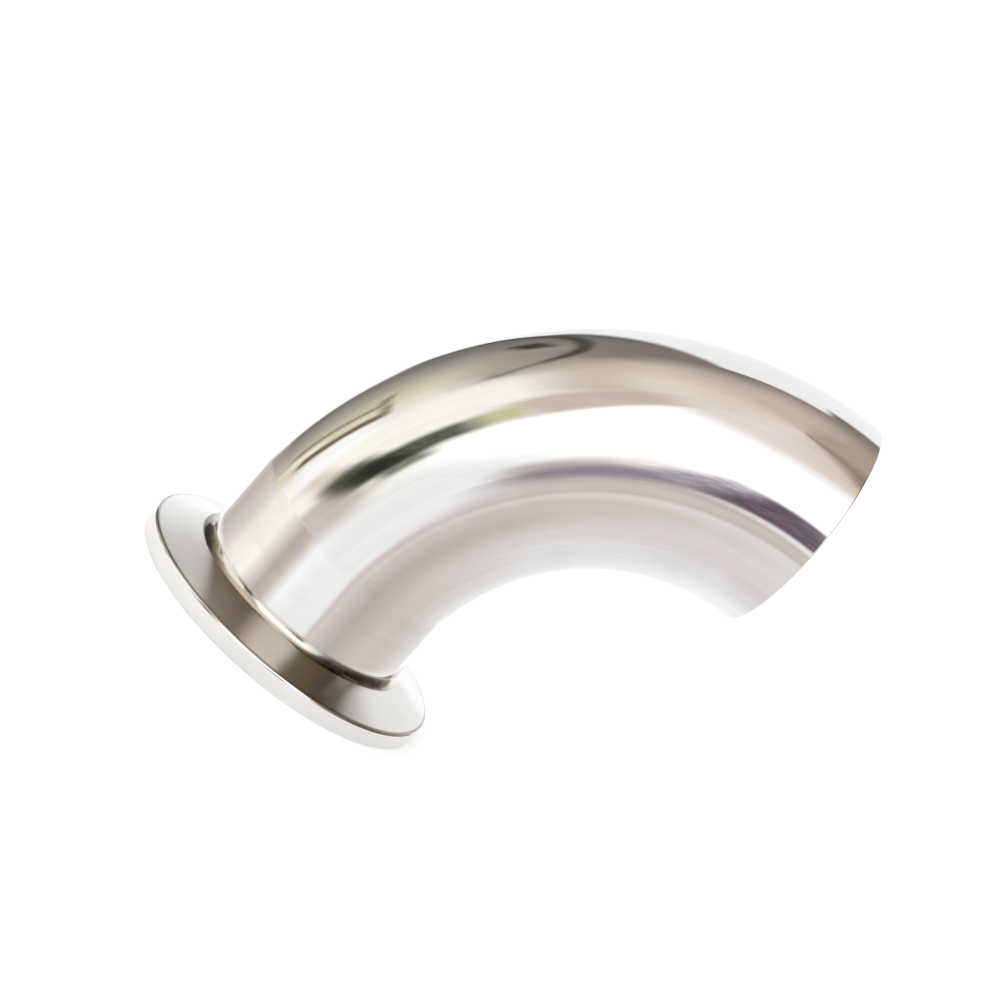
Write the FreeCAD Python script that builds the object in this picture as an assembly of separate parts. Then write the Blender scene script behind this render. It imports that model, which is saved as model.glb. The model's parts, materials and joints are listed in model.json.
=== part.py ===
import FreeCAD, Part
import math
import os
from FreeCAD import Vector

# Sanitary elbow: a bent stainless tube with a long-necked clamp ferrule welded to one end.
# Millimetres. The origin is the centre of the ferrule's gasket face, +Z runs up the ferrule's
# axis into the tube, and the bend turns towards +X until the open end faces +X.

# Tube
TUBE_OUTER_DIAMETER = 35.0
TUBE_WALL = 1.5
STRAIGHT_LENGTH = 1.0
BEND_RADIUS = 47.5
ELBOW_ANGLE = 90.0

# Clamp ferrule
FLANGE_DIAMETER = 50.5
RIM_THICKNESS = 2.9
RIM_BACK_ROUND = 0.5
RIM_FACE_ROUND = 0.3
BACK_CONE_ANGLE = 20.0
NECK_FILLET_RADIUS = 1.6

# Gasket groove in the ferrule's face
GROOVE_MEAN_DIAMETER = 43.5
GROOVE_DEPTH = 1.2
GROOVE_RADIUS = 1.6

# Weld between the ferrule's neck and the tube, which meet there at a slight corner
WELD_HEIGHT = 18.5
WELD_WIDTH = 1.0
WELD_CROWN = 0.02
CORNER_ANGLE = 7.0

# Derived sizes
AXIS = Vector(0, 0, 1)
tube_radius = TUBE_OUTER_DIAMETER / 2
bore_radius = tube_radius - TUBE_WALL
flange_radius = FLANGE_DIAMETER / 2
cone_slope = math.radians(BACK_CONE_ANGLE)
corner = math.radians(CORNER_ANGLE)

# The weld lies in the plane that halves the corner, so neck and tube are both cut on a slant
weld_axis = Vector(math.sin(corner / 2), 0, math.cos(corner / 2))
weld_centre = WELD_HEIGHT * AXIS
neck_end = weld_centre - WELD_WIDTH / 2 * weld_axis
tube_foot = weld_centre + WELD_WIDTH / 2 * weld_axis
slant = tube_radius * math.tan(corner / 2)

# Route of the tube's axis: a short straight from the weld, then the bend
tube_direction = Vector(math.sin(corner), 0, math.cos(corner))
towards_centre = Vector(math.cos(corner), 0, -math.sin(corner))
bend_start = weld_centre + (WELD_WIDTH / 2 + STRAIGHT_LENGTH) * tube_direction
bend_centre = bend_start + BEND_RADIUS * towards_centre
open_end = bend_centre + BEND_RADIUS * AXIS


def at(radius, height):
    """Point of a turned profile, in the XZ plane."""
    return Vector(radius, 0, height)


def arc_about(centre, radius, start_angle, end_angle):
    """Arc of a profile about a centre, its angles in radians from the radial direction."""
    points = []
    for angle in (start_angle, (start_angle + end_angle) / 2, end_angle):
        points.append(centre + radius * at(math.cos(angle), math.sin(angle)))
    return Part.Arc(*points).toShape()


def turned(edges):
    """Solid of revolution about the ferrule's axis, from the edges of a closed profile."""
    face = Part.Face(Part.Wire(Part.__sortEdges__(edges)))
    return face.revolve(Vector(0, 0, 0), AXIS, 360)


def start_of(edge):
    """First point of a profile edge."""
    return edge.valueAt(edge.FirstParameter)


def end_of(edge):
    """Last point of a profile edge."""
    return edge.valueAt(edge.LastParameter)


# Back of the rim: a round between the cylindrical rim and the cone
round_drop = RIM_BACK_ROUND * math.tan((math.pi / 2 - cone_slope) / 2)
rim_back_centre = at(flange_radius - RIM_BACK_ROUND, RIM_THICKNESS - round_drop)
rim_back = arc_about(rim_back_centre, RIM_BACK_ROUND, 0, math.pi / 2 - cone_slope)

# Neck: a fillet from the cone up to the tube's outside
fillet_centre_radius = tube_radius + NECK_FILLET_RADIUS
cone_foot_radius = fillet_centre_radius - NECK_FILLET_RADIUS * math.sin(cone_slope)
cone_run = end_of(rim_back).x - cone_foot_radius
cone_foot_height = end_of(rim_back).z + cone_run * math.tan(cone_slope)
fillet_centre = at(fillet_centre_radius, cone_foot_height + NECK_FILLET_RADIUS * math.cos(cone_slope))
neck_fillet = arc_about(fillet_centre, NECK_FILLET_RADIUS, -math.pi / 2 - cone_slope, -math.pi)


def clamp_ferrule():
    """Turned ferrule: flat gasket face with a groove, thick rim, sloping back and long neck."""
    neck_top = WELD_HEIGHT + slant
    face_round_centre = at(flange_radius - RIM_FACE_ROUND, RIM_FACE_ROUND)
    face_round = arc_about(face_round_centre, RIM_FACE_ROUND, -math.pi / 2, 0)
    edges = [
        Part.makeLine(at(bore_radius, 0), start_of(face_round)),
        face_round,
        Part.makeLine(end_of(face_round), start_of(rim_back)),
        rim_back,
        Part.makeLine(end_of(rim_back), start_of(neck_fillet)),
        neck_fillet,
        Part.makeLine(end_of(neck_fillet), at(tube_radius, neck_top)),
        Part.makeLine(at(tube_radius, neck_top), at(bore_radius, neck_top)),
        Part.makeLine(at(bore_radius, neck_top), at(bore_radius, 0)),
    ]
    body = turned(edges)
    groove_centre = Vector(0, 0, GROOVE_DEPTH - GROOVE_RADIUS)
    groove = Part.makeTorus(GROOVE_MEAN_DIAMETER / 2, GROOVE_RADIUS, groove_centre, AXIS)
    above_neck = Part.makeCylinder(flange_radius, WELD_HEIGHT, neck_end, weld_axis)
    return body.cut(groove).cut(above_neck)


def weld_seam():
    """Ring of weld metal through the wall, dressed almost flush outside and flush in the bore."""
    foot = -WELD_WIDTH / 2
    head = WELD_WIDTH / 2
    crown = at(tube_radius + WELD_CROWN, 0)
    edges = [
        Part.Arc(at(tube_radius, foot), crown, at(tube_radius, head)).toShape(),
        Part.makeLine(at(tube_radius, head), at(bore_radius, head)),
        Part.makeLine(at(bore_radius, head), at(bore_radius, foot)),
        Part.makeLine(at(bore_radius, foot), at(tube_radius, foot)),
    ]
    ring = turned(edges)
    ring.rotate(Vector(0, 0, 0), Vector(0, 1, 0), CORNER_ANGLE / 2)
    ring.translate(weld_centre)
    return ring


def bent_rod(radius):
    """Solid rod along the tube's route, from a little below the weld to the open end."""
    start = weld_centre - slant * tube_direction
    foot = Part.Face(Part.Wire(Part.makeCircle(radius, start, tube_direction)))
    straight = foot.extrude(bend_start - start)
    turn = Part.Face(Part.Wire(Part.makeCircle(radius, bend_start, tube_direction)))
    bend = turn.revolve(bend_centre, Vector(0, 1, 0), ELBOW_ANGLE - CORNER_ANGLE)
    return straight.fuse(bend).removeSplitter()


def elbow_tube():
    """Bent tube of even wall, square-cut at its open end."""
    tube = bent_rod(tube_radius).cut(bent_rod(bore_radius))
    below_foot = Part.makeCylinder(flange_radius, WELD_HEIGHT, tube_foot, -weld_axis)
    return tube.cut(below_foot).removeSplitter()


PIECES = {
    "clamp_ferrule": clamp_ferrule,
    "weld_seam": weld_seam,
    "elbow_tube": elbow_tube,
}

os.makedirs("parts", exist_ok=True)
for name, make in PIECES.items():
    piece = make().Solids[0]
    piece.exportStep(f"parts/{name}.step")
    print(name, "valid", piece.isValid(), "volume", round(piece.Volume, 1), "mm3")
print("open end's centre", round(open_end.x, 3), round(open_end.z, 3), "mm")
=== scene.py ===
import bpy
import json
import math
from mathutils import Matrix, Vector


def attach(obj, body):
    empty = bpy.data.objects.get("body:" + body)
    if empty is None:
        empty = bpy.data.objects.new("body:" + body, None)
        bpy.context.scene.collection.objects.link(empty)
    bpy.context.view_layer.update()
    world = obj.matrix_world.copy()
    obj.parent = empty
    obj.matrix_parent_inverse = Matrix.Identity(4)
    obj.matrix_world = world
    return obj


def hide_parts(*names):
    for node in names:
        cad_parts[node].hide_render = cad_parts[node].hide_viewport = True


# Polished sanitary elbow: a turned clamp ferrule, a dressed weld and a bent tube.
# Metres. The ferrule's gasket face lies at z = 0, its axis is Z, and the open end faces +X.

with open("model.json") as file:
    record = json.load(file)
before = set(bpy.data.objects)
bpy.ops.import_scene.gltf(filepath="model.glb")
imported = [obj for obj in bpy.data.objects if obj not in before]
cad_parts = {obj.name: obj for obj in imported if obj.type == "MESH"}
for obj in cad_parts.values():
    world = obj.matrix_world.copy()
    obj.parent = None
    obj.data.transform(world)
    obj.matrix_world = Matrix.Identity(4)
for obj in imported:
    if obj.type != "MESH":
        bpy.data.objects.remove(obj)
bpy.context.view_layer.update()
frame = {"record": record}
mounts = {mount["name"]: mount for mount in frame["record"]["mounts"]}

MM = 0.001
AXIS = Vector((0, 0, 1))

# Tube
BORE_RADIUS = mounts["ferrule_bore"]["dims"]["r_mm"] * MM
WALL = 1.5 * MM
TUBE_RADIUS = BORE_RADIUS + WALL
STRAIGHT_LENGTH = 1.0 * MM
BEND_RADIUS = 47.5 * MM
ELBOW_ANGLE = math.radians(90)

# Ferrule
FLANGE_RADIUS = mounts["clamp_rim"]["dims"]["r_mm"] * MM
RIM_THICKNESS = 2.9 * MM
RIM_BACK_ROUND = 0.5 * MM
RIM_FACE_ROUND = 0.3 * MM
BACK_CONE_ANGLE = math.radians(20)
NECK_FILLET_RADIUS = 1.6 * MM
GROOVE_MEAN_RADIUS = 21.75 * MM
GROOVE_DEPTH = 1.2 * MM
GROOVE_RADIUS = 1.6 * MM

# Weld, where neck and tube meet at a slight corner
WELD_HEIGHT = 18.5 * MM
WELD_WIDTH = 1.0 * MM
CORNER = math.radians(7)

# Edges and mesh
EDGE_ROUND = 0.12 * MM
EDGE_SUPPORT = 0.06 * MM
STEPS_AROUND = 256
TUBE_STEP = 0.45 * MM
BORE_STEP = 1.2 * MM
NECK_STEP = 0.5 * MM
ARC_STEPS = 10
SLANT_REACH = 9 * MM
WELD_STEPS = 12
MERGE_DISTANCE = 0.001 * MM
SHARP_CORNER = math.radians(40)

# Attribute with each point's place before the tube is bent, which the polish follows
STRAIGHT_PLACE = "straight_place"

# Tones of the steel
STEEL = (0.80, 0.79, 0.77)
CONE_STEEL = (0.74, 0.72, 0.69)
# Painted shade: the fillet's tone is darkened as shade in the crease
FILLET_SHADE_STEEL = (0.70, 0.67, 0.62)
# Painted shade: near-black tone of the shaded stretches of the crease
CREASE_SHADE_STEEL = (0.10, 0.085, 0.06)
# Painted dark reflection: dark tone of the band along the rim's back edge
EDGE_REFLECTION_STEEL = (0.34, 0.32, 0.29)
RIM_STEEL = (0.75, 0.74, 0.71)
STREAK_TONE = 0.94

# Polish of each piece, its scales in features for each radian round the axis and each metre along it
TUBE_POLISH = {
    "roughness": 0.055, "wander": 0.05, "line_scale": (160.0, 60.0), "streak_scale": (22.0, 40.0),
    "line_depth": 0.0006 * MM, "wave_depth": 0.02 * MM,
}
FERRULE_POLISH = {
    "roughness": 0.06, "wander": 0.05, "line_scale": (3.0, 9000.0), "streak_scale": (2.0, 500.0),
    "line_depth": 0.0005 * MM, "wave_depth": 0.01 * MM,
}
WELD_POLISH = {
    "roughness": 0.08, "wander": 0.08, "line_scale": (60.0, 3000.0), "streak_scale": (20.0, 900.0),
    "line_depth": 0.0008 * MM, "wave_depth": 0.02 * MM,
}
CLOUD_SCALE = 90.0
WAVE_SCALE = 42.0
PATCHES_SHOW = (0.38, 0.60)

# Bands of the ferrule that are left as they came off the lathe
CONE_DULLNESS = 0.14
FILLET_DULLNESS = 0.08
LATHE_BLUR = 0.85
BAND_FADE = 0.15 * MM

# Stretches of the crease painted with speckled shade, darker deeper in it: angle round the axis from +X and
# half width, in degrees
CREASE_SHADE_STRETCHES = [(52, 20), (110, 14), (182, 25), (306, 26)]
CREASE_SHADE_FADE = 9
CREASE_SHADE_DEPTH = 0.6 * MM
CREASE_SHADE_ABOVE = 0.25
SPECKLE_SCALE = 900.0
SPECKLES_SHOW = (0.38, 0.62)
SPECKLE_STRENGTH = 0.86

# Colours of the cards and soft lights around the elbow, as they show in the steel, from light to dark
COLOURS = {
    "white": (255, 255, 255), "paper": (248, 248, 248), "cream": (250, 248, 238),
    "pearl": (238, 238, 237), "ivory": (238, 236, 222), "silver": (226, 226, 225),
    "mist": (222, 220, 220), "linen": (228, 218, 207), "cloud": (215, 213, 210),
    "parchment": (224, 217, 193), "shell": (216, 208, 204), "chalk": (217, 211, 200),
    "sand": (222, 207, 190), "oat": (214, 200, 186), "ash": (205, 196, 190),
    "mushroom": (196, 187, 178), "fawn": (200, 184, 170), "straw": (194, 187, 164),
    "beige": (198, 181, 163), "heather": (190, 178, 174), "lime": (196, 194, 150),
    "clay": (183, 174, 165), "putty": (168, 162, 150), "drab": (172, 156, 142),
    "pewter": (150, 143, 150), "khaki": (158, 150, 132), "violet": (140, 128, 140),
    "taupe": (150, 133, 118), "stone": (142, 132, 122), "olive": (126, 123, 114),
    "bronze": (132, 121, 97), "mauve": (128, 113, 107), "sage": (118, 122, 104),
    "umber": (121, 112, 105), "slate": (112, 112, 110), "walnut": (112, 96, 80),
    "bark": (110, 96, 78), "iron": (88, 89, 88), "coffee": (104, 88, 62),
    "plum": (90, 70, 84), "peat": (95, 80, 51), "char": (74, 72, 66),
    "coal": (72, 66, 54), "leaf": (58, 64, 53), "soot": (58, 48, 44),
    "ink": (40, 45, 38),
}

# Azimuth in degrees from +X, colour
OVERHEAD = [(20, "drab"), (60, "drab"), (95, "fawn"), (125, "fawn"), (180, "sand"), (250, "linen"),
            (300, "oat"), (335, "taupe")]
SIDES = [(10, "walnut"), (38, "putty"), (75, "umber"), (96, "umber"), (108, "iron"), (114, "slate"),
         (122, "olive"), (138, "putty"), (146, "straw"), (160, "parchment"), (180, "cream"), (222, "cream"),
         (240, "pearl"), (300, "pearl"), (318, "taupe"), (345, "walnut")]
SKIRT = [(0, "ash"), (48, "silver"), (74, "pearl"), (96, "cloud"), (125, "heather"), (156, "chalk"),
         (167, "ivory"), (194, "cream"), (216, "clay"), (226, "mushroom"), (238, "paper"), (256, "pearl"),
         (279, "pearl"), (292, "ash"), (310, "clay"), (338, "ash")]
GROUND = [(10, "mist"), (60, "pearl"), (285, "mist"), (310, "shell"), (345, "mist")]
SECOND_SIGHT = [(0, "peat"), (205, "bark"), (214, "bark"), (236, "oat"), (250, "linen"), (292, "linen"),
                (304, "peat")]

# Elevations in degrees between which one of them passes into the next
OVERHEAD_EDGE = (45, 72)
SKIRT_EDGE = (-15, -10)
GROUND_EDGE = (-46, -22)

# Light that meets the steel twice also sees a ring between these elevations, and one more card
SECOND_FOOT = (36, 42)
SECOND_TOP = (84, 76)
SECOND_SHADE = (358, 50, 18, 22, 0, 14, 7)
SECOND_SHADE_COLOUR = "coal"

# The world counts a ray's meetings with the steel plus one, so this lies between the first and second
SECOND_MEETING = 2.5

# name, azimuth, half width, elevation, half height, tilt, soft sides, soft ends, colour, strength, grain
CARDS = [
    ("beige haze", 180, 30, 50, 10, 0, 12, 9, "beige", 0.85, 0),
    ("mauve haze", 126, 25, 43, 8, 0, 14, 7, "mauve", 0.95, 0),
    ("dusk haze", 151, 19, 34, 10, 0, 9, 8, "stone", 0.7, 0),
    ("brown beam", 338, 24, 55, 18, 0, 8, 8, "walnut", 0.9, 0),
    ("far white", 78, 31, -3, 17.5, 0, 2.2, 2, "paper", 1, 0),
    ("white foot", 106, 8, -8, 7, 0, 2.5, 2.5, "paper", 1, 0),
    ("cream foot", 174, 8, 0, 9, 0, 3, 4, "white", 0.9, 0),
    ("left strut", 151, 1.9, 0, 9.5, -25, 1.4, 1.5, "bronze", 0.75, 0),
    ("light gap", 155, 1.9, -6, 4, -28, 1.4, 2, "cream", 0.7, 0),
    ("right strut", 163, 2.4, 1, 9.5, -22, 1.6, 1.5, "coffee", 0.95, 0),
    ("left rail", 151.5, 4.5, 9, 1.3, 0, 2, 1, "bronze", 0.8, 0),
    ("right rail", 163, 6, 10, 1.3, 0, 2.5, 1, "bronze", 0.8, 0),
    ("dark spot", 127.2, 2.6, 24.8, 5.2, -42, 1.6, 2.6, "soot", 1, 0.15),
    ("tan spot", 165.5, 3.6, 31.5, 2.6, 0, 2.5, 2, "khaki", 0.8, 0),
    ("soft box", 266.5, 41, 32, 24, 0, 2.5, 9, "white", 1, 0),
    ("fawn strip", 215.5, 10.5, 45, 17, 0, 3.5, 7, "fawn", 0.95, 0),
    ("lime strip", 216, 6.5, 25, 5, -20, 3, 3, "lime", 0.95, 0.1),
    ("grey shade", 217, 12, -7, 5.5, 0, 5, 3, "clay", 0.85, 0.1),
    ("ash shade", 228, 8, -9, 4, 0, 5, 3, "ash", 0.7, 0),
    ("beige tail", 192, 8, -4, 3, 15, 5, 2.4, "beige", 0.6, 0),
    ("taupe foot", 203, 7, -2.5, 4, 8, 4, 2.6, "taupe", 0.85, 0.1),
    ("sage fin", 222, 5.5, 5, 4.6, -6, 2.6, 2.4, "sage", 1, 0.1),
    ("flag foot", 209, 9.5, 0.4, 5.8, 12, 3.4, 2.8, "leaf", 0.93, 0.1),
    ("green flag", 214, 6.8, 9, 12.5, -9, 2.8, 4.5, "leaf", 0.97, 0.1),
    ("dark core", 213, 6, 3, 4.2, 0, 3.5, 3, "ink", 0.9, 0.1),
    ("heather patch", 275.5, 16, -6.3, 4.6, -38, 3, 2, "heather", 1, 0.1),
    ("ash skirt", 285, 7, -13, 3.5, -8, 3, 2, "ash", 0.9, 0),
    ("pale veil", 268, 5, 8, 5, -20, 3, 3, "shell", 0.6, 0.3),
    ("pewter patch", 270.5, 4.6, -1.5, 3.2, -40, 2.5, 2.2, "pewter", 0.8, 0.3),
    ("violet patch", 273.9, 4.2, 4.5, 13, -12, 2.4, 3.5, "violet", 0.95, 0.4),
    ("plum patch", 281.2, 4.6, 7.8, 10.2, 0, 2, 2, "plum", 1, 0.12),
]
SOFT_BOX_GAIN = 1.25

# Wander of the cards' edges in degrees, and the grain on some of them
EDGE_WANDER = 2.4
WANDER_SCALE = 7.0
GRAIN_SCALE = 55.0
GRAIN_SHOWS = (0.35, 0.62)

# Dark arch: azimuth, elevation, half width, half height, thickness, colour
ARCH = (145.5, 2.7, 36, 36.2, 1.4, "char")
ARCH_EDGE = (0.3, 1.7)
ARCH_FOOT = (-0.02, 0.16)
ARCH_PALE = (0.05, 0.38)
ARCH_PALENESS = 0.45
ARCH_END = (0.5, 0.8)

# White card behind the elbow: wide and low, with a taller part on its left
CARD_DISTANCE = 450 * MM
CARD_LEFT = -136 * MM
CARD_STEP = 102 * MM
CARD_RIGHT = 481 * MM
CARD_TOP = 515 * MM
CARD_TALL_TOP = 652 * MM
CARD_SOFT = 14 * MM
CARD_LEFT_SOFT = 26 * MM
CARD_FADE = (50 * MM, 130 * MM)
CARD_TOP_SOFT = 35 * MM

# Floor
FLOOR_SIZE = 8.0
FLOOR_COLOUR = (0.55, 0.55, 0.55, 1)
FLOOR_GLOW = 0.5
FLOOR_SEEN = 33 * MM
FLOOR_SEEN_FADE = 4 * MM

# Camera
CAMERA_TARGET = Vector((13.3, 7.2, 33.9)) * MM
CAMERA_AZIMUTH = -101.08
CAMERA_ELEVATION = 15.76
CAMERA_ROLL = 41.67
CAMERA_DISTANCE = 658.3 * MM
NEAREST_SEEN = 10 * MM
LENS = 162.0

# name, azimuth, elevation, distance, size, power
LAMPS = [
    ("key lamp", 250, 50, 0.8, 0.7, 2.0),
    ("fill lamp", 120, 55, 0.9, 0.8, 1.5),
]

# A length that no piece reaches
FAR = 1.0

# Cone foot and fillet, which the section and the finish both follow
back_drop = RIM_BACK_ROUND * math.tan((math.pi / 2 - BACK_CONE_ANGLE) / 2)
back_centre = (FLANGE_RADIUS - RIM_BACK_ROUND, RIM_THICKNESS - back_drop)
cone_top = (back_centre[0] + RIM_BACK_ROUND * math.sin(BACK_CONE_ANGLE),
            back_centre[1] + RIM_BACK_ROUND * math.cos(BACK_CONE_ANGLE))
fillet_middle = TUBE_RADIUS + NECK_FILLET_RADIUS
cone_foot = fillet_middle - NECK_FILLET_RADIUS * math.sin(BACK_CONE_ANGLE)
cone_foot_height = cone_top[1] + (cone_top[0] - cone_foot) * math.tan(BACK_CONE_ANGLE)
fillet_top = cone_foot_height + NECK_FILLET_RADIUS * math.cos(BACK_CONE_ANGLE)

# Weld's slant and edge, and the tube's route, measured from the weld's middle
half_corner = math.tan(CORNER / 2)
weld_edge = WELD_WIDTH / 2 / math.cos(CORNER / 2)
bend_start = WELD_WIDTH / 2 + STRAIGHT_LENGTH
tube_length = bend_start + BEND_RADIUS * (ELBOW_ANGLE - CORNER)


class Sums:
    """Writes nodes into one tree. A value handed in is a number or another node's socket."""

    def __init__(self, tree):
        self.tree = tree

    def node(self, kind, **settings):
        made = self.tree.nodes.new(kind)
        for name, value in settings.items():
            setattr(made, name, value)
        return made

    def feed(self, socket, value):
        if isinstance(value, bpy.types.NodeSocket):
            self.tree.links.new(value, socket)
        else:
            socket.default_value = value

    def do(self, operation, *values):
        made = self.node("ShaderNodeMath", operation=operation)
        for socket, value in zip(made.inputs, values):
            self.feed(socket, value)
        return made.outputs[0]

    def vector(self, x, y, z):
        made = self.node("ShaderNodeCombineXYZ")
        for socket, value in zip(made.inputs, (x, y, z)):
            self.feed(socket, value)
        return made.outputs[0]

    def parts(self, vector):
        made = self.node("ShaderNodeSeparateXYZ")
        self.feed(made.inputs[0], vector)
        return made.outputs

    def ramp(self, value, start, end, low=0.0, high=1.0, smooth=True):
        made = self.node("ShaderNodeMapRange")
        made.interpolation_type = "SMOOTHSTEP" if smooth else "LINEAR"
        for name, given in (("Value", value), ("From Min", start), ("From Max", end),
                            ("To Min", low), ("To Max", high)):
            self.feed(made.inputs[name], given)
        return made.outputs["Result"]

    def noise(self, place, scale, detail=2.0, roughness=0.5):
        made = self.node("ShaderNodeTexNoise")
        self.feed(made.inputs["Vector"], place)
        self.feed(made.inputs["Scale"], scale)
        self.feed(made.inputs["Detail"], detail)
        self.feed(made.inputs["Roughness"], roughness)
        return made.outputs[0]

    def mix(self, share, first, second):
        made = self.node("ShaderNodeMix", data_type="RGBA")
        self.feed(made.inputs[0], share)
        for socket, colour in ((made.inputs[6], first), (made.inputs[7], second)):
            self.feed(socket, colour)
        return made.outputs[2]


def turning_tree():
    """Geometry nodes: turn a section round the axis, then lead it along the elbow's route.

    The section is a closed row of points, radius in X and height in Z. The ends at the weld are
    cut on a slant, the weld ring arches over the corner, and the tube bends from its start on.
    """
    tree = bpy.data.node_groups.new("turn and bend", "GeometryNodeTree")
    face = tree.interface
    face.new_socket("Section", in_out="INPUT", socket_type="NodeSocketGeometry")
    face.new_socket("Steps around", in_out="INPUT", socket_type="NodeSocketInt")
    for name in ("Slant", "Slant height", "Slant reach", "Stretch", "Arch", "Arch half width",
                 "Bend start", "Bend radius", "Turn", "Height"):
        face.new_socket(name, in_out="INPUT", socket_type="NodeSocketFloat")
    face.new_socket("Finish", in_out="INPUT", socket_type="NodeSocketMaterial")
    face.new_socket("Piece", in_out="OUTPUT", socket_type="NodeSocketGeometry")

    sums = Sums(tree)
    given = sums.node("NodeGroupInput").outputs
    size = sums.node("GeometryNodeAttributeDomainSize")
    sums.feed(size.inputs["Geometry"], given["Section"])
    points = size.outputs["Point Count"]
    grid = sums.node("GeometryNodeMeshGrid")
    sums.feed(grid.inputs["Vertices X"], sums.do("ADD", points, 1.0))
    sums.feed(grid.inputs["Vertices Y"], sums.do("ADD", given["Steps around"], 1.0))

    index = sums.node("GeometryNodeInputIndex").outputs[0]
    row_length = sums.do("ADD", given["Steps around"], 1.0)
    row = sums.do("FLOOR", sums.do("DIVIDE", sums.do("ADD", index, 0.5), row_length))
    step = sums.do("SUBTRACT", index, sums.do("MULTIPLY", row, row_length))
    wrapped = sums.do("FLOORED_MODULO", row, points)

    spot = sums.node("GeometryNodeSampleIndex", data_type="FLOAT_VECTOR")
    sums.feed(spot.inputs["Geometry"], given["Section"])
    sums.feed(spot.inputs["Value"], sums.node("GeometryNodeInputPosition").outputs[0])
    sums.feed(spot.inputs["Index"], wrapped)
    section = sums.parts(spot.outputs[0])
    angle = sums.do("MULTIPLY", sums.do("DIVIDE", step, given["Steps around"]), math.tau)
    across = sums.do("MULTIPLY", section[0], sums.do("COSINE", angle))
    aside = sums.do("MULTIPLY", section[0], sums.do("SINE", angle))
    straight = sums.vector(across, aside, section[2])

    away = sums.do("ABSOLUTE", sums.do("SUBTRACT", section[2], given["Slant height"]))
    share = sums.ramp(away, 0.0, given["Slant reach"], 1.0, 0.0)
    lean = sums.do("MULTIPLY", sums.do("MULTIPLY", given["Slant"], across), share)
    height = sums.do("ADD", section[2], lean)

    place = sums.do("DIVIDE", section[2], given["Arch half width"])
    rise = sums.do("ADD", 1.0, sums.do("MULTIPLY", place, place))
    across = sums.do("MULTIPLY", across, given["Stretch"])
    across = sums.do("ADD", across, sums.do("MULTIPLY", given["Arch"], rise))

    beyond = sums.do("MAXIMUM", sums.do("SUBTRACT", height, given["Bend start"]), 0.0)
    swing = sums.do("DIVIDE", beyond, given["Bend radius"])
    lever = sums.do("SUBTRACT", given["Bend radius"], across)
    bent_x = sums.do("SUBTRACT", given["Bend radius"],
                     sums.do("MULTIPLY", lever, sums.do("COSINE", swing)))
    bent_z = sums.do("MULTIPLY_ADD", lever, sums.do("SINE", swing),
                     sums.do("MINIMUM", height, given["Bend start"]))
    turned = sums.node("ShaderNodeVectorRotate", rotation_type="Y_AXIS")
    sums.feed(turned.inputs["Vector"], sums.vector(bent_x, aside, bent_z))
    sums.feed(turned.inputs["Angle"], given["Turn"])
    lifted = sums.node("ShaderNodeVectorMath", operation="ADD")
    sums.feed(lifted.inputs[0], turned.outputs[0])
    sums.feed(lifted.inputs[1], sums.vector(0.0, 0.0, given["Height"]))

    kept = sums.node("GeometryNodeStoreNamedAttribute", data_type="FLOAT_VECTOR", domain="POINT")
    sums.feed(kept.inputs["Geometry"], grid.outputs["Mesh"])
    sums.feed(kept.inputs["Name"], STRAIGHT_PLACE)
    sums.feed(kept.inputs["Value"], straight)
    placed = sums.node("GeometryNodeSetPosition")
    sums.feed(placed.inputs["Geometry"], kept.outputs[0])
    sums.feed(placed.inputs["Position"], lifted.outputs[0])
    closed = sums.node("GeometryNodeMergeByDistance")
    sums.feed(closed.inputs["Geometry"], placed.outputs[0])
    sums.feed(closed.inputs["Distance"], MERGE_DISTANCE)
    flipped = sums.node("GeometryNodeFlipFaces")
    sums.feed(flipped.inputs[0], closed.outputs[0])
    smooth = sums.node("GeometryNodeSetShadeSmooth")
    sums.feed(smooth.inputs["Geometry"], flipped.outputs[0])
    crisp = sums.node("GeometryNodeSetShadeSmooth", domain="EDGE")
    corner = sums.node("GeometryNodeInputMeshEdgeAngle").outputs[0]
    sums.feed(crisp.inputs["Geometry"], smooth.outputs[0])
    sums.feed(crisp.inputs["Selection"], sums.do("GREATER_THAN", corner, SHARP_CORNER))
    crisp.inputs["Shade Smooth"].default_value = False
    real = sums.node("GeometryNodeRealizeInstances")
    sums.feed(real.inputs[0], crisp.outputs[0])
    finish = sums.node("GeometryNodeSetMaterial")
    sums.feed(finish.inputs["Geometry"], real.outputs[0])
    sums.feed(finish.inputs["Material"], given["Finish"])
    out = sums.node("NodeGroupOutput")
    sums.feed(out.inputs[0], finish.outputs[0])
    return tree


def arc(centre, radius, start, end, steps=ARC_STEPS):
    """Points of an arc in a section, its angles measured from the radial direction."""
    points = []
    for step in range(steps + 1):
        angle = start + (end - start) * step / steps
        points.append((centre[0] + radius * math.cos(angle), centre[1] + radius * math.sin(angle)))
    return points


def run(start, end, step):
    """Points of a straight in a section, with one close to each end to hold the shading."""
    length = math.dist(start, end)
    places = [EDGE_SUPPORT / length]
    count = max(1, round(length / step))
    places += [share / count for share in range(1, count)]
    places.append(1 - EDGE_SUPPORT / length)
    return [(start[0] + (end[0] - start[0]) * share, start[1] + (end[1] - start[1]) * share)
            for share in places]


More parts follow.
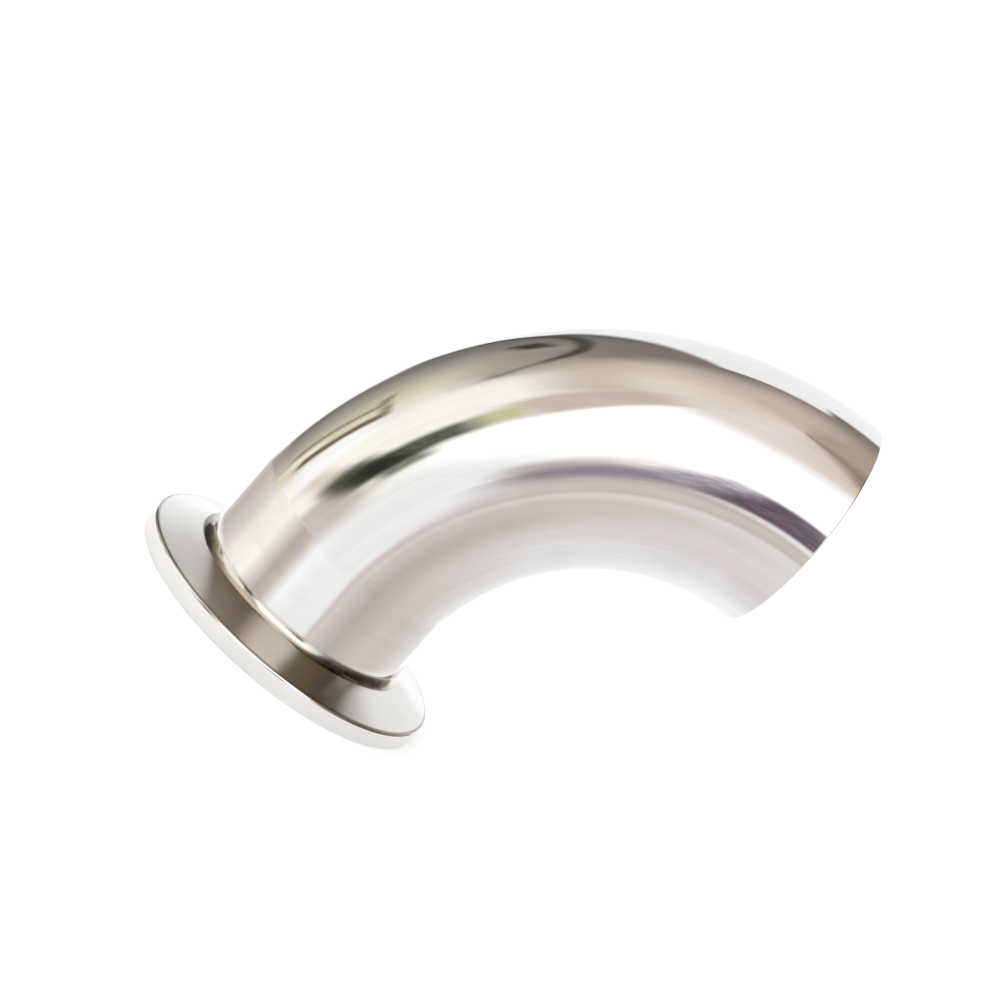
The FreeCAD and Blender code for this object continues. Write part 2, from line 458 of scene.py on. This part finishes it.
def ferrule_section():
    """Closed section of the ferrule: face and groove, rim, sloping back, fillet, neck and bore."""
    right = math.pi / 2
    groove_centre = (GROOVE_MEAN_RADIUS, GROOVE_DEPTH - GROOVE_RADIUS)
    groove_lip = math.asin(-groove_centre[1] / GROOVE_RADIUS)
    groove = arc(groove_centre, GROOVE_RADIUS, math.pi - groove_lip, groove_lip)
    bore_edge = arc((BORE_RADIUS + EDGE_ROUND, EDGE_ROUND), EDGE_ROUND, math.pi, 3 * right, 4)
    face_round = arc((FLANGE_RADIUS - RIM_FACE_ROUND, RIM_FACE_ROUND), RIM_FACE_ROUND, -right, 0, 6)
    back_round = arc(back_centre, RIM_BACK_ROUND, 0, right - BACK_CONE_ANGLE, 8)
    fillet = arc((fillet_middle, fillet_top), NECK_FILLET_RADIUS, -right - BACK_CONE_ANGLE, -math.pi, 12)
    top = WELD_HEIGHT - weld_edge
    points = bore_edge
    points += run(bore_edge[-1], groove[0], NECK_STEP)
    points += groove
    points += run(groove[-1], face_round[0], NECK_STEP)
    points += face_round
    points += run(face_round[-1], back_round[0], NECK_STEP)
    points += back_round
    points += run(back_round[-1], fillet[0], NECK_STEP)
    points += fillet
    points += run(fillet[-1], (TUBE_RADIUS, top), NECK_STEP)
    points += [(TUBE_RADIUS, top), (BORE_RADIUS, top)]
    points += run((BORE_RADIUS, top), bore_edge[0], BORE_STEP)
    return points


def weld_section():
    """Closed section of the weld ring, about its own middle."""
    foot = -WELD_WIDTH / 2
    outside = [(TUBE_RADIUS, foot + WELD_WIDTH * step / WELD_STEPS) for step in range(WELD_STEPS + 1)]
    inside = [(BORE_RADIUS, height) for _, height in reversed(outside)]
    return outside + inside


def tube_section():
    """Closed section of the tube before it is bent, from the weld to the open end."""
    right = math.pi / 2
    outer_edge = arc((TUBE_RADIUS - EDGE_ROUND, tube_length - EDGE_ROUND), EDGE_ROUND, 0, right, 4)
    inner_edge = arc((BORE_RADIUS + EDGE_ROUND, tube_length - EDGE_ROUND), EDGE_ROUND, right, math.pi, 4)
    points = [(TUBE_RADIUS, weld_edge)]
    points += run(points[0], outer_edge[0], TUBE_STEP)
    points += outer_edge
    points += run(outer_edge[-1], inner_edge[0], WALL / 3)
    points += inner_edge
    points += run(inner_edge[-1], (BORE_RADIUS, weld_edge), BORE_STEP)
    points.append((BORE_RADIUS, weld_edge))
    return points


def turned_piece(name, section, finish, sizes):
    """A piece made by the tree from its section, as a plain mesh at the origin."""
    base = bpy.data.meshes.new(name + "_section")
    edges = [(point, (point + 1) % len(section)) for point in range(len(section))]
    base.from_pydata([(radius, 0, height) for radius, height in section], edges, [])
    piece = bpy.data.objects.new(name, base)
    bpy.context.scene.collection.objects.link(piece)
    modifier = piece.modifiers.new("turn and bend", "NODES")
    modifier.node_group = TURNING
    values = {"Steps around": STEPS_AROUND, "Slant reach": SLANT_REACH, "Stretch": 1.0,
              "Arch half width": FAR, "Bend start": FAR, "Bend radius": BEND_RADIUS, "Finish": finish}
    values.update(sizes)
    for item in TURNING.interface.items_tree:
        if item.in_out == "INPUT" and item.name in values:
            modifier[item.identifier] = values[item.name]
    evaluated = piece.evaluated_get(bpy.context.evaluated_depsgraph_get())
    mesh = bpy.data.meshes.new_from_object(evaluated)
    piece.modifiers.remove(modifier)
    mesh.name = name
    piece.data = mesh
    bpy.data.meshes.remove(base)
    return piece


def steel(name, roughness, wander, line_scale, streak_scale, line_depth, wave_depth, bands=()):
    """Polished steel with fine lines, faint streaks and a slight waviness.

    Each band lies between two radii and two heights and has its own tone. It is left as it came off the
    lathe: it has extra dullness, and blurs more across the cuts than along them. The fillet's darker tone
    is painted shade of the crease, and the back edge's dark tone is a painted dark reflection. A creased
    band also shows painted shade in stretches of the crease.
    """
    made = bpy.data.materials.new(name)
    made.use_nodes = True
    tree = made.node_tree
    tree.nodes.clear()
    sums = Sums(tree)
    place = sums.node("ShaderNodeAttribute", attribute_name=STRAIGHT_PLACE).outputs["Vector"]
    x, y, z = sums.parts(place)
    reach = sums.do("SQRT", sums.do("ADD", sums.do("MULTIPLY", x, x), sums.do("MULTIPLY", y, y)))
    around_x = sums.do("DIVIDE", x, reach)
    around_y = sums.do("DIVIDE", y, reach)
    profile = sums.do("ADD", reach, z)

    def lined(around, along, detail):
        spot = sums.vector(sums.do("MULTIPLY", around_x, around), sums.do("MULTIPLY", around_y, around),
                           sums.do("MULTIPLY", profile, along))
        return sums.noise(spot, 1.0, detail, 0.6)

    lines = lined(*line_scale, 3.0)
    streaks = lined(*streak_scale, 4.0)
    clouds = sums.noise(place, CLOUD_SCALE, 3.0, 0.55)
    waves = sums.noise(place, WAVE_SCALE, 1.0, 0.4)

    shader = sums.node("ShaderNodeBsdfPrincipled")
    shader.inputs["Metallic"].default_value = 1.0
    darker = tuple(STREAK_TONE * part for part in STEEL)
    patchy = sums.do("MULTIPLY", sums.do("ADD", clouds, streaks), 0.5)
    polished = sums.ramp(patchy, *PATCHES_SHOW)
    tone = sums.mix(polished, (*darker, 1), (*STEEL, 1))
    # Share of the painted shade in stretches of the crease
    crease_shade_share = painted_crease_shade(sums, place, z) if bands else None
    uneven = sums.do("ADD", sums.do("SUBTRACT", lines, 0.5), sums.do("SUBTRACT", clouds, 0.5))
    dullness = sums.do("MULTIPLY_ADD", uneven, wander, roughness)
    blur = None
    for inner, outer, foot, top, colour, extra, crease_shaded in bands:
        share = sums.do("MULTIPLY", sums.ramp(reach, inner - BAND_FADE, inner + BAND_FADE),
                        sums.ramp(reach, outer + BAND_FADE, outer - BAND_FADE))
        share = sums.do("MULTIPLY", share, sums.ramp(z, top, top - 2 * BAND_FADE))
        share = sums.do("MULTIPLY", share, sums.ramp(z, foot, foot + 2 * BAND_FADE))
        streaky = tuple(STREAK_TONE * part for part in colour)
        banded = sums.mix(polished, (*streaky, 1), (*colour, 1))
        # In a creased band, painted shade darkens stretches of the crease
        if crease_shaded:
            banded = sums.mix(crease_shade_share, banded, (*CREASE_SHADE_STEEL, 1))
        tone = sums.mix(share, tone, banded)
        dullness = sums.do("MULTIPLY_ADD", share, extra, dullness)
        blur = sums.do("ADD", blur, share) if blur else share
    if blur:
        sums.feed(shader.inputs["Anisotropic"], sums.do("MULTIPLY", blur, LATHE_BLUR))
        shader.inputs["Anisotropic Rotation"].default_value = 0.25
        around_axis = sums.node("ShaderNodeTangent", direction_type="RADIAL", axis="Z")
        sums.feed(shader.inputs["Tangent"], around_axis.outputs[0])
    sums.feed(shader.inputs["Base Color"], tone)
    sums.feed(shader.inputs["Roughness"], dullness)

    wavy = sums.node("ShaderNodeBump")
    wavy.inputs["Distance"].default_value = wave_depth
    sums.feed(wavy.inputs["Height"], waves)
    lined_bump = sums.node("ShaderNodeBump")
    lined_bump.inputs["Distance"].default_value = line_depth
    sums.feed(lined_bump.inputs["Height"], lines)
    sums.feed(lined_bump.inputs["Normal"], wavy.outputs[0])
    sums.feed(shader.inputs["Normal"], lined_bump.outputs[0])
    out = sums.node("ShaderNodeOutputMaterial")
    sums.feed(out.inputs["Surface"], shader.outputs[0])
    return made


def painted_crease_shade(sums, place, z):
    """Share of the crease's speckled painted shade at a place, by its angle round the axis and darker
    deeper in the crease.
    """
    x, y, _ = sums.parts(place)
    turn = sums.do("MULTIPLY", sums.do("ARCTAN2", y, x), math.degrees(1))
    share = 0.0
    for middle, half_width in CREASE_SHADE_STRETCHES:
        away = sums.do("ABSOLUTE", apart(sums, turn, middle))
        patch = sums.ramp(away, half_width - CREASE_SHADE_FADE, half_width + CREASE_SHADE_FADE, 1.0, 0.0)
        share = sums.do("MAXIMUM", share, patch)
    speckle = sums.ramp(sums.noise(place, SPECKLE_SCALE), *SPECKLES_SHOW, 1.0, SPECKLE_STRENGTH)
    # The painted shade is darker deeper in the crease
    deep = sums.ramp(z, fillet_top, cone_foot_height + CREASE_SHADE_DEPTH, CREASE_SHADE_ABOVE, 1.0)
    return sums.do("MULTIPLY", sums.do("MULTIPLY", share, speckle), deep)


def build_elbow():
    """The three welded pieces, each in place of its plain solid."""
    neck_foot = fillet_top + 2 * BAND_FADE
    rim_inside = FLANGE_RADIUS - BAND_FADE / 2
    # Inner and outer radius, foot, top, colour, extra dullness, whether the crease's painted shade shows
    cone = (cone_foot, back_centre[0], RIM_BACK_ROUND, neck_foot, CONE_STEEL, CONE_DULLNESS, False)
    # Fillet band: its darker tone is painted shade of the crease, and its extra dullness is the lathe's
    # finish
    crease = (TUBE_RADIUS - 4 * BAND_FADE, cone_foot, cone_foot_height - MM, neck_foot, FILLET_SHADE_STEEL,
              FILLET_DULLNESS, True)
    # Band along the rim's back edge, whose dark tone is a painted dark reflection
    dark_edge_reflection = (back_centre[0], FLANGE_RADIUS - BAND_FADE, back_centre[1], neck_foot, EDGE_REFLECTION_STEEL,
                 CONE_DULLNESS, False)
    rim = (rim_inside, FLANGE_RADIUS + MM, 0.0, back_centre[1], RIM_STEEL, 0.0, False)
    tube_steel = steel("polished tube", **TUBE_POLISH)
    ferrule_steel = steel("turned ferrule", **FERRULE_POLISH, bands=(cone, crease, dark_edge_reflection, rim))
    weld_steel = steel("dressed weld", **WELD_POLISH)
    ferrule = turned_piece("turned_ferrule", ferrule_section(), ferrule_steel,
                           {"Slant": -half_corner, "Slant height": WELD_HEIGHT - weld_edge})
    weld = turned_piece("dressed_weld", weld_section(), weld_steel,
                        {"Arch": WELD_WIDTH / 4 * half_corner, "Arch half width": WELD_WIDTH / 2,
                         "Stretch": 1 / math.cos(CORNER / 2), "Turn": CORNER / 2, "Height": WELD_HEIGHT})
    tube = turned_piece("polished_tube", tube_section(), tube_steel,
                        {"Slant": half_corner, "Slant height": weld_edge, "Bend start": bend_start,
                         "Turn": CORNER, "Height": WELD_HEIGHT})
    for piece, node, slot in ((ferrule, "clamp_ferrule", "ferrule"), (weld, "weld_seam", "weld"),
                              (tube, "elbow_tube", "tube")):
        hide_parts(node)
        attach(piece, "root")


def seen(name, gain=1.0):
    """Light that shows in the steel as the named colour."""
    parts = []
    for part, share in zip(COLOURS[name], STEEL):
        value = part / 255
        linear = value / 12.92 if value <= 0.04045 else ((value + 0.055) / 1.055) ** 2.4
        parts.append(gain * linear / share)
    return (*parts, 1)


def round_the_room(sums, azimuth, stops):
    """Colour by azimuth, with soft changes from stop to stop all the way round."""
    ramp = sums.node("ShaderNodeValToRGB")
    sums.feed(ramp.inputs[0], sums.do("DIVIDE", azimuth, 360.0))
    first, last = stops[0], stops[-1]
    gap = first[0] + 360 - last[0]
    share = (360 - last[0]) / gap
    meeting = [old * (1 - share) + new * share for old, new in zip(seen(last[1]), seen(first[1]))]
    marks = ramp.color_ramp.elements
    marks[0].color = meeting
    marks[1].color = meeting
    for place, name in stops:
        if 0 < place:
            marks.new(place / 360).color = seen(name)
    return ramp.outputs[0]


def apart(sums, azimuth, middle):
    """Degrees of azimuth from the middle, from -180 to 180."""
    return sums.do("WRAP", sums.do("SUBTRACT", azimuth, float(middle)), 180.0, -180.0)


def soft_card_tree():
    """Node group: share of a soft-edged, tilted card at a given azimuth and elevation."""
    tree = bpy.data.node_groups.new("soft card", "ShaderNodeTree")
    for name in ("Aside", "Above", "Half width", "Half height", "Tilt", "Soft sides", "Soft ends"):
        tree.interface.new_socket(name, in_out="INPUT", socket_type="NodeSocketFloat")
    tree.interface.new_socket("Share", in_out="OUTPUT", socket_type="NodeSocketFloat")
    sums = Sums(tree)
    given = sums.node("NodeGroupInput").outputs
    turned = sums.node("ShaderNodeVectorRotate", rotation_type="Z_AXIS")
    sums.feed(turned.inputs["Vector"], sums.vector(given["Aside"], given["Above"], 0.0))
    sums.feed(turned.inputs["Angle"], sums.do("MULTIPLY", given["Tilt"], -1.0))
    x, y, _ = sums.parts(turned.outputs[0])
    shares = []
    for place, half, soft in ((x, "Half width", "Soft sides"), (y, "Half height", "Soft ends")):
        inner = sums.do("SUBTRACT", given[half], given[soft])
        outer = sums.do("ADD", given[half], given[soft])
        shares.append(sums.ramp(sums.do("ABSOLUTE", place), inner, outer, 1.0, 0.0))
    out = sums.node("NodeGroupOutput")
    sums.feed(out.inputs[0], sums.do("MULTIPLY", *shares))
    return tree


def card_share(sums, soft_card, azimuth, elevation, card):
    """Share of one card in the direction looked in."""
    middle, half_width, height, half_height, tilt, sides, ends = card
    share = sums.node("ShaderNodeGroup", node_tree=soft_card)
    values = (apart(sums, azimuth, middle), sums.do("SUBTRACT", elevation, float(height)),
              float(half_width), float(half_height), math.radians(tilt), float(sides), float(ends))
    for socket, value in zip(share.inputs, values):
        sums.feed(socket, value)
    return share.outputs[0]


def dark_arch(sums, azimuth, elevation):
    """Share of a thin dark arch, which pales and ends down its right side, and its colour."""
    middle, height, half_width, half_height, thick, colour = ARCH
    above = sums.do("DIVIDE", sums.do("SUBTRACT", elevation, float(height)), half_height)
    aside = sums.do("DIVIDE", apart(sums, azimuth, middle), float(half_width))
    squares = sums.do("ADD", sums.do("MULTIPLY", aside, aside), sums.do("MULTIPLY", above, above))
    away = sums.do("SQRT", squares)
    off = sums.do("MULTIPLY", sums.do("ABSOLUTE", sums.do("SUBTRACT", away, 1.0)), half_height)
    inner, outer = ARCH_EDGE
    share = sums.do("MULTIPLY", sums.ramp(off, thick * inner, thick * outer, 1.0, 0.0),
                    sums.ramp(above, *ARCH_FOOT))
    share = sums.do("MULTIPLY", share, sums.ramp(aside, *ARCH_PALE, 1.0, ARCH_PALENESS))
    share = sums.do("MULTIPLY", share, sums.ramp(aside, *ARCH_END, 1.0, 0.0))
    return share, colour


def surroundings():
    """World: plain white, in which the steel alone sees soft coloured cards all round."""
    world = bpy.data.worlds.new("studio")
    bpy.context.scene.world = world
    world.use_nodes = True
    world.cycles.sampling_method = "NONE"
    tree = world.node_tree
    tree.nodes.clear()
    sums = Sums(tree)
    direction = sums.node("ShaderNodeTexCoord").outputs["Generated"]
    x, y, z = sums.parts(direction)
    blur = sums.noise(direction, WANDER_SCALE, 4.0, 0.62)
    blur_up = sums.noise(sums.vector(z, x, y), WANDER_SCALE, 4.0, 0.62)
    turn = sums.do("MULTIPLY", sums.do("ARCTAN2", y, x), math.degrees(1))
    stray = sums.do("MULTIPLY", sums.do("SUBTRACT", blur, 0.5), EDGE_WANDER)
    azimuth = sums.do("FLOORED_MODULO", sums.do("ADD", turn, stray), 360.0)
    rise = sums.do("MULTIPLY", sums.do("ARCSINE", z), math.degrees(1))
    stray = sums.do("MULTIPLY", sums.do("SUBTRACT", blur_up, 0.5), EDGE_WANDER)
    elevation = sums.do("ADD", rise, stray)

    room = round_the_room(sums, azimuth, SIDES)
    room = sums.mix(sums.ramp(elevation, *OVERHEAD_EDGE), room, round_the_room(sums, azimuth, OVERHEAD))
    room = sums.mix(sums.ramp(elevation, *SKIRT_EDGE), round_the_room(sums, azimuth, SKIRT), room)
    room = sums.mix(sums.ramp(elevation, *GROUND_EDGE), round_the_room(sums, azimuth, GROUND), room)
    speckle = sums.ramp(sums.noise(direction, GRAIN_SCALE, 3.0, 0.65), *GRAIN_SHOWS, 1.0, 0.0)
    soft_card = soft_card_tree()
    for name, *card, colour, strength, grain in CARDS:
        gain = SOFT_BOX_GAIN if name == "soft box" else 1.0
        share = card_share(sums, soft_card, azimuth, elevation, card)
        share = sums.do("MULTIPLY", share, float(strength))
        if grain:
            kept = sums.do("SUBTRACT", 1.0, sums.do("MULTIPLY", speckle, grain))
            share = sums.do("MULTIPLY", share, kept)
        room = sums.mix(share, room, seen(colour, gain))
    share, colour = dark_arch(sums, azimuth, elevation)
    room = sums.mix(share, room, seen(colour))
    rays = sums.node("ShaderNodeLightPath").outputs
    second = sums.do("GREATER_THAN", rays["Ray Depth"], SECOND_MEETING)
    share = sums.do("MULTIPLY", sums.ramp(elevation, *SECOND_FOOT), sums.ramp(elevation, *SECOND_TOP))
    share = sums.do("MULTIPLY", share, second)
    room = sums.mix(share, room, round_the_room(sums, azimuth, SECOND_SIGHT))
    share = card_share(sums, soft_card, azimuth, elevation, SECOND_SHADE)
    room = sums.mix(sums.do("MULTIPLY", share, second), room, seen(SECOND_SHADE_COLOUR))

    steel_sees = sums.do("SUBTRACT", rays["Is Glossy Ray"], rays["Is Camera Ray"])
    plain = sums.node("ShaderNodeBackground")
    plain.inputs["Color"].default_value = (1, 1, 1, 1)
    plain.inputs["Strength"].default_value = 1.0
    shown = sums.node("ShaderNodeBackground")
    sums.feed(shown.inputs["Color"], room)
    chosen = sums.node("ShaderNodeMixShader")
    sums.feed(chosen.inputs[0], steel_sees)
    sums.feed(chosen.inputs[1], plain.outputs[0])
    sums.feed(chosen.inputs[2], shown.outputs[0])
    out = sums.node("ShaderNodeOutputWorld")
    sums.feed(out.inputs["Surface"], chosen.outputs[0])


def white_card():
    """Large white card behind the elbow, which shows in the steel only."""
    made = bpy.data.materials.new("white card")
    made.use_nodes = True
    made.cycles.emission_sampling = "NONE"
    tree = made.node_tree
    tree.nodes.clear()
    sums = Sums(tree)
    x, _, z = sums.parts(sums.node("ShaderNodeTexCoord").outputs["Object"])
    low = sums.do("MULTIPLY", sums.ramp(x, CARD_RIGHT - CARD_SOFT, CARD_RIGHT + CARD_SOFT, 1.0, 0.0),
                  sums.ramp(z, CARD_TOP - CARD_TOP_SOFT, CARD_TOP + CARD_TOP_SOFT, 1.0, 0.0))
    tall = sums.do("MULTIPLY", sums.ramp(x, CARD_STEP - CARD_SOFT, CARD_STEP + CARD_SOFT, 1.0, 0.0),
                   sums.ramp(z, CARD_TALL_TOP - CARD_SOFT, CARD_TALL_TOP + CARD_SOFT, 1.0, 0.0))
    share = sums.do("MULTIPLY", sums.do("MAXIMUM", low, tall),
                    sums.ramp(x, CARD_LEFT - CARD_LEFT_SOFT, CARD_LEFT + CARD_LEFT_SOFT))
    glow = sums.node("ShaderNodeEmission")
    sums.feed(glow.inputs["Color"], sums.mix(sums.ramp(z, *CARD_FADE), seen("white"), seen("pearl")))
    rays = sums.node("ShaderNodeLightPath").outputs
    shown = sums.node("ShaderNodeMixShader")
    share = sums.do("MULTIPLY", share, sums.do("LESS_THAN", rays["Ray Depth"], SECOND_MEETING - 1))
    sums.feed(shown.inputs[0], sums.do("MULTIPLY", share, rays["Is Glossy Ray"]))
    sums.feed(shown.inputs[1], sums.node("ShaderNodeBsdfTransparent").outputs[0])
    sums.feed(shown.inputs[2], glow.outputs[0])
    out = sums.node("ShaderNodeOutputMaterial")
    sums.feed(out.inputs["Surface"], shown.outputs[0])
    left, right, top = CARD_LEFT - CARD_LEFT_SOFT, CARD_RIGHT + CARD_SOFT, CARD_TALL_TOP + CARD_SOFT
    corners = [(left, CARD_DISTANCE, 0), (right, CARD_DISTANCE, 0), (right, CARD_DISTANCE, top),
               (left, CARD_DISTANCE, top)]
    flat_stage("white card", corners, made)


def flat_stage(name, corners, finish):
    """A flat sheet of the studio, which isn't part of the elbow."""
    mesh = bpy.data.meshes.new(name)
    mesh.from_pydata(corners, [], [(0, 1, 2, 3)])
    mesh.materials.append(finish)
    sheet = bpy.data.objects.new(name, mesh)
    bpy.context.scene.collection.objects.link(sheet)


def floor():
    """White floor: it glows a little for the camera, so only the shadow shows on it.

    The steel sees it close to the flange, and the skirt's colours farther out.
    """
    made = bpy.data.materials.new("white floor")
    made.use_nodes = True
    tree = made.node_tree
    tree.nodes.clear()
    sums = Sums(tree)
    cloth = sums.node("ShaderNodeBsdfDiffuse")
    cloth.inputs["Color"].default_value = FLOOR_COLOUR
    rays = sums.node("ShaderNodeLightPath").outputs
    watched = sums.do("MAXIMUM", rays["Is Camera Ray"],
                      sums.do("MAXIMUM", rays["Is Glossy Ray"], rays["Is Transmission Ray"]))
    glow = sums.node("ShaderNodeEmission")
    sums.feed(glow.inputs["Strength"], sums.do("MULTIPLY", watched, FLOOR_GLOW))
    both = sums.node("ShaderNodeAddShader")
    sums.feed(both.inputs[0], cloth.outputs[0])
    sums.feed(both.inputs[1], glow.outputs[0])
    reach = sums.node("ShaderNodeVectorMath", operation="LENGTH")
    sums.feed(reach.inputs[0], sums.node("ShaderNodeTexCoord").outputs["Object"])
    beyond = sums.ramp(reach.outputs["Value"], FLOOR_SEEN, FLOOR_SEEN + FLOOR_SEEN_FADE)
    open_floor = sums.node("ShaderNodeMixShader")
    sums.feed(open_floor.inputs[0], sums.do("MULTIPLY", beyond, rays["Is Glossy Ray"]))
    sums.feed(open_floor.inputs[1], both.outputs[0])
    sums.feed(open_floor.inputs[2], sums.node("ShaderNodeBsdfTransparent").outputs[0])
    out = sums.node("ShaderNodeOutputMaterial")
    sums.feed(out.inputs["Surface"], open_floor.outputs[0])
    half = FLOOR_SIZE / 2
    flat_stage("floor", [(-half, -half, 0), (half, -half, 0), (half, half, 0), (-half, half, 0)], made)


def towards(azimuth, elevation):
    """Unit vector from its angles in degrees."""
    turn = math.radians(azimuth)
    rise = math.radians(elevation)
    return Vector((math.cos(rise) * math.cos(turn), math.cos(rise) * math.sin(turn), math.sin(rise)))


def camera():
    """Camera at the photograph's viewing angle."""
    made = bpy.data.cameras.new("camera")
    made.lens = LENS
    made.clip_start = NEAREST_SEEN
    seen_from = bpy.data.objects.new("camera", made)
    back = towards(CAMERA_AZIMUTH, CAMERA_ELEVATION)
    level = AXIS.cross(back).normalized()
    upright = back.cross(level)
    turn = Matrix((level, upright, back)).transposed().to_4x4()
    roll = Matrix.Rotation(math.radians(CAMERA_ROLL), 4, "Z")
    seen_from.matrix_world = Matrix.Translation(CAMERA_TARGET + CAMERA_DISTANCE * back) @ turn @ roll
    bpy.context.scene.collection.objects.link(seen_from)
    bpy.context.scene.camera = seen_from


def lamp(name, azimuth, elevation, distance, size, power):
    """A soft square lamp that faces the elbow."""
    made = bpy.data.lights.new(name, "AREA")
    made.size = size
    made.energy = power
    light = bpy.data.objects.new(name, made)
    back = towards(azimuth, elevation)
    facing = back.to_track_quat("Z", "Y").to_matrix().to_4x4()
    light.matrix_world = Matrix.Translation(CAMERA_TARGET + distance * back) @ facing
    light.visible_glossy = False
    bpy.context.scene.collection.objects.link(light)


TURNING = turning_tree()
build_elbow()
surroundings()
white_card()
floor()
camera()
for given_lamp in LAMPS:
    lamp(*given_lamp)

bpy.context.scene.view_settings.view_transform = "Standard"
